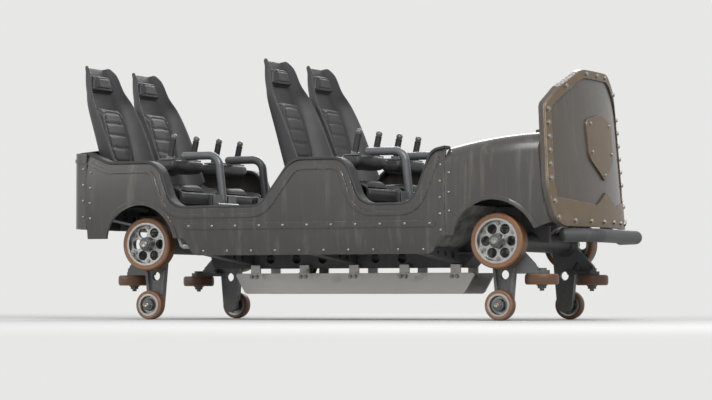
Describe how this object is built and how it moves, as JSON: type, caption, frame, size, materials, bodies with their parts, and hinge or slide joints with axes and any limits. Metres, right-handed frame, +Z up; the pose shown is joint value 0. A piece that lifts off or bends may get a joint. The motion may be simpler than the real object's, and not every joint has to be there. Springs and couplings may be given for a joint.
{
  "type": "roller coaster lead car",
  "caption": "Open roller coaster car with a tall shield-shaped front, bucket seats in rows, hinged lap bars and sets of road, guide and upstop wheels.",
  "frame": {"origin": "on the floor, under the middle of the car's length and width", "axes": "+X to the front of the car, +Y to its left, +Z up"},
  "size_m": [3.36, 1.4, 1.5119],
  "materials": {
    "body_panel": "semi-gloss charcoal paint on moulded panels, scuffed at the edges",
    "body_trim": "black moulded edge capping",
    "fascia_paint": "dark brown-grey satin paint",
    "fascia_metal": "darkened steel strips, worn bright on the edges",
    "chassis_paint": "dark grey paint on welded steel, dusty",
    "carrier_paint": "grey paint on cut and welded plate, greasy at the pins",
    "wheel_metal": "turned aluminium, dulled",
    "wheel_tread": "cast brown urethane, worn matt in the middle",
    "fin_steel": "bare steel, scored lengthwise by the brakes",
    "shell_plastic": "fine-grained black glass-fibre moulding",
    "pad_skin": "black self-skinned foam with a leather grain",
    "bar_paint": "dark grey powder coat, rubbed bright where hands hold it",
    "floor_metal": "dull floor plate with anti-slip ribs",
    "pawl_steel": "oiled forged steel"
  },
  "bodies": {
    "root": {"chassis_frame": "chassis_paint", "rear_coupling": "chassis_paint", "brake_fins": "fin_steel", "floor_pan": "floor_metal", "side_panel_left": "body_panel", "side_panel_right": "body_panel", "coaming_left": "body_trim", "coaming_right": "body_trim", "nose_cowl": "body_panel", "dash_panel": "body_trim", "fascia": "fascia_paint", "fascia_frame": "fascia_metal", "tail_panel": "body_panel", "front_bumper": "chassis_paint", "seat_frame_front": "chassis_paint", "seat_frame_rear": "chassis_paint", "seat_pads_front": "pad_skin", "seat_shell_front_left": "shell_plastic", "seat_shell_front_right": "shell_plastic", "seat_pads_rear": "pad_skin", "seat_shell_rear_left": "shell_plastic", "seat_shell_rear_right": "shell_plastic"},
    "bogie_front": {"axle_beam_front": "chassis_paint", "wheel_carrier_front_left": "carrier_paint", "wheel_carrier_front_right": "carrier_paint"},
    "road_wheel_front_left": {"road_hub_front_left": "wheel_metal", "road_tread_front_left": "wheel_tread"},
    "guide_wheel_front_left": {"guide_wheel_front_left": "wheel_tread"},
    "upstop_wheel_front_left": {"upstop_wheel_front_left": "wheel_tread"},
    "restraint_front_left": {"lap_bar_front_left": "bar_paint", "lap_pads_front_left": "pad_skin"},
    "road_wheel_front_right": {"road_hub_front_right": "wheel_metal", "road_tread_front_right": "wheel_tread"},
    "guide_wheel_front_right": {"guide_wheel_front_right": "wheel_tread"},
    "upstop_wheel_front_right": {"upstop_wheel_front_right": "wheel_tread"},
    "restraint_front_right": {"lap_bar_front_right": "bar_paint", "lap_pads_front_right": "pad_skin"},
    "bogie_rear": {"axle_beam_rear": "chassis_paint", "wheel_carrier_rear_left": "carrier_paint", "wheel_carrier_rear_right": "carrier_paint"},
    "road_wheel_rear_left": {"road_hub_rear_left": "wheel_metal", "road_tread_rear_left": "wheel_tread"},
    "guide_wheel_rear_left": {"guide_wheel_rear_left": "wheel_tread"},
    "upstop_wheel_rear_left": {"upstop_wheel_rear_left": "wheel_tread"},
    "restraint_rear_left": {"lap_bar_rear_left": "bar_paint", "lap_pads_rear_left": "pad_skin"},
    "road_wheel_rear_right": {"road_hub_rear_right": "wheel_metal", "road_tread_rear_right": "wheel_tread"},
    "guide_wheel_rear_right": {"guide_wheel_rear_right": "wheel_tread"},
    "upstop_wheel_rear_right": {"upstop_wheel_rear_right": "wheel_tread"},
    "restraint_rear_right": {"lap_bar_rear_right": "bar_paint", "lap_pads_rear_right": "pad_skin"},
    "pawl": {"rollback_pawl": "pawl_steel"}
  },
  "joints": [
    {"name": "steer_front", "type": "hinge", "parent": "root", "child": "bogie_front", "pos_m": [1.15, 0, 0.439], "axis": [0, 0, 1], "range_deg": [-6, 6]},
    {"name": "lap_bar_front_left", "type": "hinge", "parent": "root", "child": "restraint_front_left", "pos_m": [0.45, 0.282, 0.518], "axis": [0, 1, 0], "range_deg": [0, 45]},
    {"name": "road_front_left", "type": "hinge", "parent": "bogie_front", "child": "road_wheel_front_left", "pos_m": [1.15, 0.56, 0.439], "axis": [0, 1, 0], "continuous": true},
    {"name": "guide_front_left", "type": "hinge", "parent": "bogie_front", "child": "guide_wheel_front_left", "pos_m": [1.34, 0.401, 0.229], "axis": [0, 0, 1], "continuous": true},
    {"name": "upstop_front_left", "type": "hinge", "parent": "bogie_front", "child": "upstop_wheel_front_left", "pos_m": [1.15, 0.545, 0.085], "axis": [0, 1, 0], "continuous": true},
    {"name": "lap_bar_front_right", "type": "hinge", "parent": "root", "child": "restraint_front_right", "pos_m": [0.45, -0.282, 0.518], "axis": [0, 1, 0], "range_deg": [0, 45]},
    {"name": "road_front_right", "type": "hinge", "parent": "bogie_front", "child": "road_wheel_front_right", "pos_m": [1.15, -0.56, 0.439], "axis": [0, 1, 0], "continuous": true},
    {"name": "guide_front_right", "type": "hinge", "parent": "bogie_front", "child": "guide_wheel_front_right", "pos_m": [1.34, -0.401, 0.229], "axis": [0, 0, 1], "continuous": true},
    {"name": "upstop_front_right", "type": "hinge", "parent": "bogie_front", "child": "upstop_wheel_front_right", "pos_m": [1.15, -0.545, 0.085], "axis": [0, 1, 0], "continuous": true},
    {"name": "steer_rear", "type": "hinge", "parent": "root", "child": "bogie_rear", "pos_m": [-1.05, 0, 0.439], "axis": [0, 0, 1], "range_deg": [-6, 6]},
    {"name": "lap_bar_rear_left", "type": "hinge", "parent": "root", "child": "restraint_rear_left", "pos_m": [-0.75, 0.282, 0.518], "axis": [0, 1, 0], "range_deg": [0, 45]},
    {"name": "road_rear_left", "type": "hinge", "parent": "bogie_rear", "child": "road_wheel_rear_left", "pos_m": [-1.05, 0.56, 0.439], "axis": [0, 1, 0], "continuous": true},
    {"name": "guide_rear_left", "type": "hinge", "parent": "bogie_rear", "child": "guide_wheel_rear_left", "pos_m": [-1.24, 0.401, 0.229], "axis": [0, 0, 1], "continuous": true},
    {"name": "upstop_rear_left", "type": "hinge", "parent": "bogie_rear", "child": "upstop_wheel_rear_left", "pos_m": [-1.05, 0.545, 0.085], "axis": [0, 1, 0], "continuous": true},
    {"name": "lap_bar_rear_right", "type": "hinge", "parent": "root", "child": "restraint_rear_right", "pos_m": [-0.75, -0.282, 0.518], "axis": [0, 1, 0], "range_deg": [0, 45]},
    {"name": "road_rear_right", "type": "hinge", "parent": "bogie_rear", "child": "road_wheel_rear_right", "pos_m": [-1.05, -0.56, 0.439], "axis": [0, 1, 0], "continuous": true},
    {"name": "guide_rear_right", "type": "hinge", "parent": "bogie_rear", "child": "guide_wheel_rear_right", "pos_m": [-1.24, -0.401, 0.229], "axis": [0, 0, 1], "continuous": true},
    {"name": "upstop_rear_right", "type": "hinge", "parent": "bogie_rear", "child": "upstop_wheel_rear_right", "pos_m": [-1.05, -0.545, 0.085], "axis": [0, 1, 0], "continuous": true},
    {"name": "rollback_pawl", "type": "hinge", "parent": "root", "child": "pawl", "pos_m": [-0.29, 0, 0.264], "axis": [0, 1, 0], "range_deg": [0, 18]}
  ]
}
